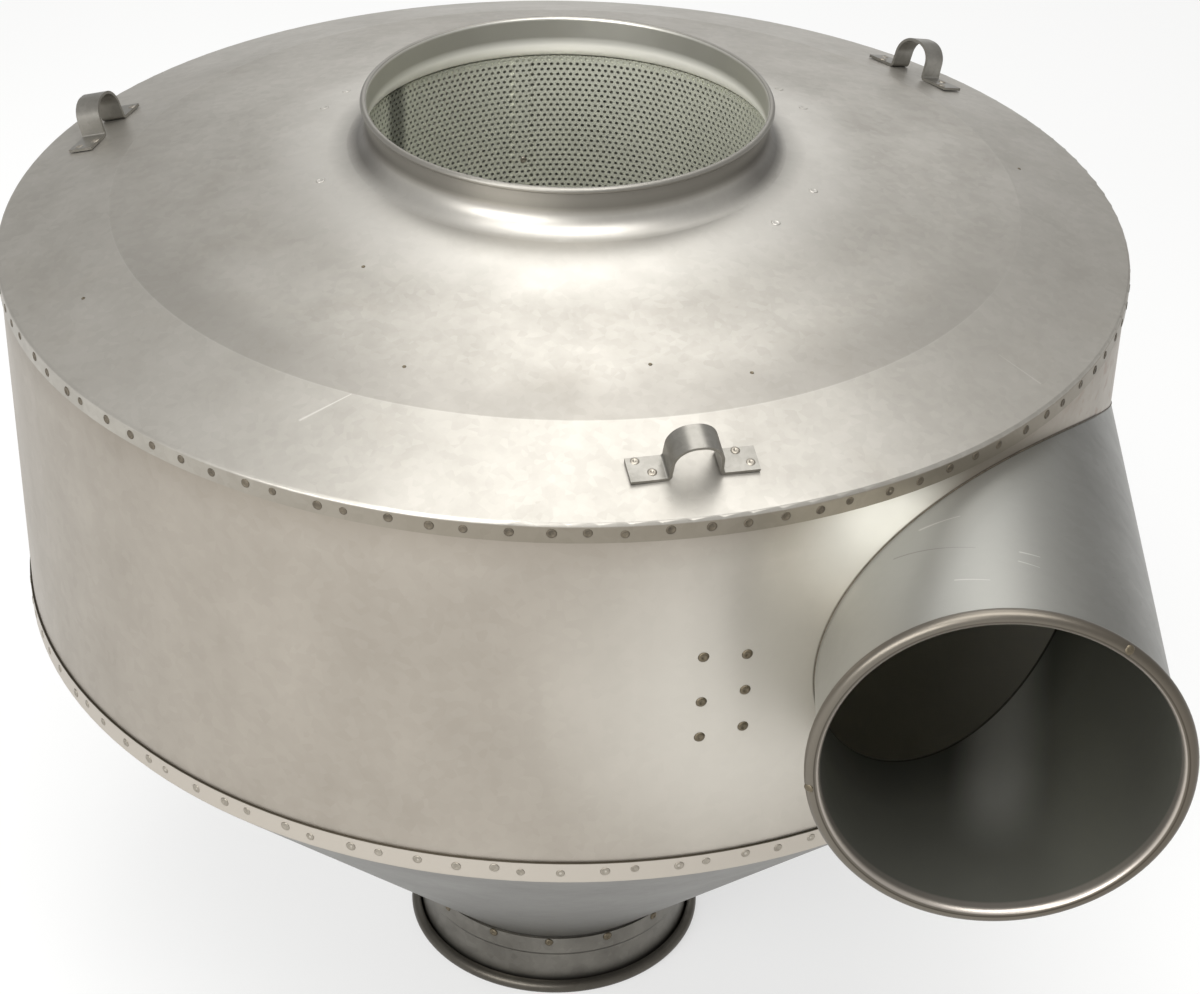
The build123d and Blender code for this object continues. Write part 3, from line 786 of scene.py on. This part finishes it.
def thin_line(name, material):
    """A round line along the start mesh's edges."""
    tree, size = new_tree(name, {"Line Radius": "Float"})
    path = node(tree, "GeometryNodeMeshToCurve", {"Mesh": size["Geometry"]})
    rim = node(tree, "GeometryNodeCurvePrimitiveCircle", {"Resolution": 6, "Radius": size["Line Radius"]})
    line = node(tree, "GeometryNodeCurveToMesh", {
        "Curve": path, "Profile Curve": rim.outputs["Curve"], "Fill Caps": True})
    end_tree(tree, line, material)
    return tree


# The saddle: where the pipe meets the drum, a fine dark line of solder and dirt follows the corner
saddle_proud = 0.1 * mm
saddle_start_angle = 10.5
saddle_steps = 150
saddle_points = []
for step in range(saddle_steps + 1):
    turn = radians(saddle_start_angle + (360 - 2 * saddle_start_angle) * step / saddle_steps)
    x = pipe_axis.x + (pipe_radius + saddle_proud) * cos(turn)
    z = pipe_axis.z + (pipe_radius + saddle_proud) * sin(turn)
    saddle_points.append((x, -sqrt((drum_radius + saddle_proud) ** 2 - x * x), z))
saddle_path = bpy.data.meshes.new("saddle_path")
saddle_path.from_pydata(saddle_points, [(i, i + 1) for i in range(saddle_steps)], [])
grow("saddle_seam", thin_line("saddle_line", dirt), {"Line Radius": 0.4 * mm},
     saddle_path)


def perforated_sheet(name, material):
    """A bent sheet with staggered round holes: one holed hexagon, copied, joined, thickened and rolled."""
    hole_sides = 8
    weld_distance = 0.05 * mm
    tree, size = new_tree(name, {
        "Radius": "Float", "Foot": "Float", "Thickness": "Float", "Pitch": "Float", "Hole Radius": "Float",
        "Columns": "Int", "Rows": "Int", "First Column": "Int", "Columns Round": "Int", "Turn": "Float"})
    corner = node(tree, "ShaderNodeMath", {0: size["Pitch"], 1: sqrt(3)}, operation="DIVIDE")
    outline = node(tree, "GeometryNodeCurvePrimitiveCircle", {"Resolution": 6, "Radius": corner})
    pointed = node(tree, "GeometryNodeTransform", {
        "Geometry": outline.outputs["Curve"], "Rotation": (0, 0, pi / 6)})
    hole = node(tree, "GeometryNodeCurvePrimitiveCircle", {
        "Resolution": hole_sides, "Radius": size["Hole Radius"]})
    loops = node(tree, "GeometryNodeJoinGeometry", {"Geometry": pointed})
    tree.links.new(hole.outputs["Curve"], loops.inputs["Geometry"])
    tile = node(tree, "GeometryNodeFillCurve", {"Curve": loops}, mode="TRIANGLES")
    count = node(tree, "ShaderNodeMath", {0: size["Columns"], 1: size["Rows"]}, operation="MULTIPLY")
    points = node(tree, "GeometryNodePoints", {"Count": count})
    index = node(tree, "GeometryNodeInputIndex")
    column = node(tree, "ShaderNodeMath", {0: index, 1: size["Columns"]}, operation="MODULO")
    over = node(tree, "ShaderNodeMath", {0: index, 1: size["Columns"]}, operation="DIVIDE")
    row = node(tree, "ShaderNodeMath", {0: over}, operation="FLOOR")
    odd = node(tree, "ShaderNodeMath", {0: row, 1: 2.0}, operation="MODULO")
    counted = node(tree, "ShaderNodeMath", {0: column, 1: size["First Column"]}, operation="ADD")
    stagger = node(tree, "ShaderNodeMath", {0: odd, 1: 0.5, 2: counted}, operation="MULTIPLY_ADD")
    across = node(tree, "ShaderNodeMath", {0: stagger, 1: size["Pitch"]}, operation="MULTIPLY")
    row_step = node(tree, "ShaderNodeMath", {0: size["Pitch"], 1: sqrt(3) / 2}, operation="MULTIPLY")
    up = node(tree, "ShaderNodeMath", {0: row, 1: row_step}, operation="MULTIPLY")
    spot = node(tree, "ShaderNodeCombineXYZ", {"X": across, "Y": up})
    spread = node(tree, "GeometryNodeSetPosition", {"Geometry": points, "Position": spot})
    tiles = node(tree, "GeometryNodeInstanceOnPoints", {"Points": spread, "Instance": tile})
    real = node(tree, "GeometryNodeRealizeInstances", {"Geometry": tiles})
    flat = node(tree, "GeometryNodeMergeByDistance", {"Geometry": real, "Distance": weld_distance})
    raised = node(tree, "GeometryNodeExtrudeMesh", {
        "Mesh": flat, "Offset Scale": size["Thickness"], "Individual": False})
    under = node(tree, "GeometryNodeFlipFaces", {"Mesh": flat})
    both = node(tree, "GeometryNodeJoinGeometry", {"Geometry": raised.outputs["Mesh"]})
    tree.links.new(under.outputs["Mesh"], both.inputs["Geometry"])
    plate = node(tree, "GeometryNodeMergeByDistance", {"Geometry": both, "Distance": weld_distance})
    place = node(tree, "ShaderNodeSeparateXYZ", {"Vector": node(tree, "GeometryNodeInputPosition")})
    girth = node(tree, "ShaderNodeMath", {0: size["Pitch"], 1: size["Columns Round"]}, operation="MULTIPLY")
    around = node(tree, "ShaderNodeMath", {0: place.outputs["X"], 1: girth}, operation="DIVIDE")
    angle = node(tree, "ShaderNodeMath", {0: around, 1: 2 * pi, 2: size["Turn"]}, operation="MULTIPLY_ADD")
    inner = node(tree, "ShaderNodeMath", {0: size["Radius"], 1: size["Thickness"]}, operation="SUBTRACT")
    radius = node(tree, "ShaderNodeMath", {0: place.outputs["Z"], 1: inner}, operation="ADD")
    cosine = node(tree, "ShaderNodeMath", {0: angle}, operation="COSINE")
    sine = node(tree, "ShaderNodeMath", {0: angle}, operation="SINE")
    outward = node(tree, "ShaderNodeCombineXYZ", {"X": cosine, "Y": sine})
    out = node(tree, "ShaderNodeVectorMath", {0: outward, "Scale": radius}, operation="SCALE")
    height = node(tree, "ShaderNodeMath", {0: place.outputs["Y"], 1: size["Foot"]}, operation="ADD")
    lifted = node(tree, "ShaderNodeCombineXYZ", {"Z": height})
    rolled = node(tree, "ShaderNodeVectorMath", {0: out, 1: lifted}, operation="ADD")
    bent = node(tree, "GeometryNodeSetPosition", {"Geometry": plate, "Position": rolled})
    dressed = node(tree, "GeometryNodeSetMaterial", {"Geometry": bent, "Material": material})
    node(tree, "NodeGroupOutput", {"Geometry": dressed})
    return tree


# The screen: 2 mm holes at 3.5 mm, staggered, in three panels and the seam that laps over their inside
hole_radius = 1.0 * mm
hole_pitch = 3.5 * mm
row_pitch = hole_pitch * sqrt(3) / 2
tile_corner = hole_pitch / sqrt(3)
columns_round = 194
screen_thickness = 0.8 * mm
seam_angle = 106.0
screen_rows = int((screen_high.z - screen_low.z - 2 * tile_corner) / row_pitch) + 1
screen_foot = screen_high.z - tile_corner - (screen_rows - 1) * row_pitch
lap_radius = screen_radius - screen_thickness - lap_gap

# Each panel's radius, its first column of holes and its number of columns
screen_panels = {
    "screen_left": (screen_radius, 0, 65),
    "screen_front": (screen_radius, 65, 65),
    "screen_right": (screen_radius, 130, 64),
    "screen_lap": (lap_radius, -1, 3),
}
screen_tree = perforated_sheet("perforated_screen", screen_sheet)
for name, (radius, first_column, columns) in screen_panels.items():
    grow("perforated_" + name, screen_tree, {
        "Radius": radius, "Foot": screen_foot, "Thickness": screen_thickness, "Pitch": hole_pitch,
        "Hole Radius": hole_radius, "Columns": columns, "Rows": screen_rows, "First Column": first_column,
        "Columns Round": columns_round, "Turn": radians(seam_angle)}, stands_for=(name,))


# Floor, light and camera
floor_half = 30.0
floor_glow = 0.6
surround_strength = 0.5
aim = (0.0, 0.0, 0.4)

# Each soft box's place, width, depth and strength, where a strength of 1 lights its face white
soft_boxes = {
    "overhead_box": ((0.08, 0.25, 2.0), 1.1, 1.1, 2.1),
    "back_box": ((0.0, 0.85, 1.9), 1.0, 0.6, 2.0),
    "back_low_box": ((0.0, 2.04, 1.22), 1.6, 0.6, 1.2),
    "front_top_box": ((0.0, -0.8, 1.9), 1.6, 1.0, 5.2),
    "front_box": ((-0.85, -1.65, 1.05), 1.4, 0.9, 7.0),
}

# The photograph's camera: its place in metres, its lens and sensor in millimetres and its turns in degrees
camera_place = (0.0622, -1.2827, 1.1128)
lens_length = 82.58
sensor_width = 36.0
heading_angle = 1.81
tilt_angle = 57.285
roll_angle = 1.503
nearest, farthest = 0.01, 50.0


def plain_stage():
    """A wide floor that looks nearly white to the camera and in the metal, and keeps the object's shadow."""
    material, tree = new_material("pale_floor")
    path = node(tree, "ShaderNodeLightPath")
    sharp = node(tree, "ShaderNodeMath", {
        0: path.outputs["Is Camera Ray"], 1: path.outputs["Is Glossy Ray"]}, operation="ADD")
    seen = node(tree, "ShaderNodeMath", {
        0: sharp, 1: path.outputs["Is Transmission Ray"]}, operation="ADD", use_clamp=True)
    share = node(tree, "ShaderNodeMath", {0: seen, 1: floor_glow}, operation="MULTIPLY")
    matt = node(tree, "ShaderNodeBsdfDiffuse", {"Color": linear("#F2F2F0")})
    glow = node(tree, "ShaderNodeEmission", {"Color": (1, 1, 1, 1), "Strength": 1.0})
    mixed = node(tree, "ShaderNodeMixShader", {0: share, 1: matt, 2: glow})
    node(tree, "ShaderNodeOutputMaterial", {"Surface": mixed})
    mesh = bpy.data.meshes.new("floor")
    corners = [(x * floor_half, y * floor_half, floor_z) for x, y in ((-1, -1), (1, -1), (1, 1), (-1, 1))]
    mesh.from_pydata(corners, [], [(0, 1, 2, 3)])
    mesh.materials.append(material)
    floor = bpy.data.objects.new("floor", mesh)
    collection.objects.link(floor)


def soft_box(name, place, width, depth, strength):
    """A white rectangular lamp that looks at the drum, whose strength is the brightness of its face."""
    lamp = bpy.data.lights.new(name, "AREA")
    lamp.shape = "RECTANGLE"
    lamp.size = width
    lamp.size_y = depth
    lamp.energy = strength * width * depth * pi
    lit = bpy.data.objects.new(name, lamp)
    lit.location = place
    lit.rotation_euler = (Vector(aim) - Vector(place)).to_track_quat("-Z", "Y").to_euler()
    collection.objects.link(lit)


plain_stage()
for name, box in soft_boxes.items():
    soft_box(name, *box)

world = bpy.data.worlds.new("studio")
bpy.context.scene.world = world
world.use_nodes = True
world.node_tree.nodes.clear()
surround = node(world.node_tree, "ShaderNodeBackground", {
    "Color": (1, 1, 1, 1), "Strength": surround_strength})
node(world.node_tree, "ShaderNodeOutputWorld", {"Surface": surround})

camera_data = bpy.data.cameras.new("camera")
camera_data.sensor_width = sensor_width
camera_data.lens = lens_length
camera_data.clip_start = nearest
camera_data.clip_end = farthest
camera = bpy.data.objects.new("camera", camera_data)
turned = (Matrix.Rotation(radians(heading_angle), 4, "Z") @ Matrix.Rotation(radians(tilt_angle), 4, "X")
          @ Matrix.Rotation(radians(roll_angle), 4, "Z"))
camera.matrix_world = Matrix.Translation(camera_place) @ turned
collection.objects.link(camera)
bpy.context.scene.camera = camera
bpy.context.scene.view_settings.view_transform = "Standard"
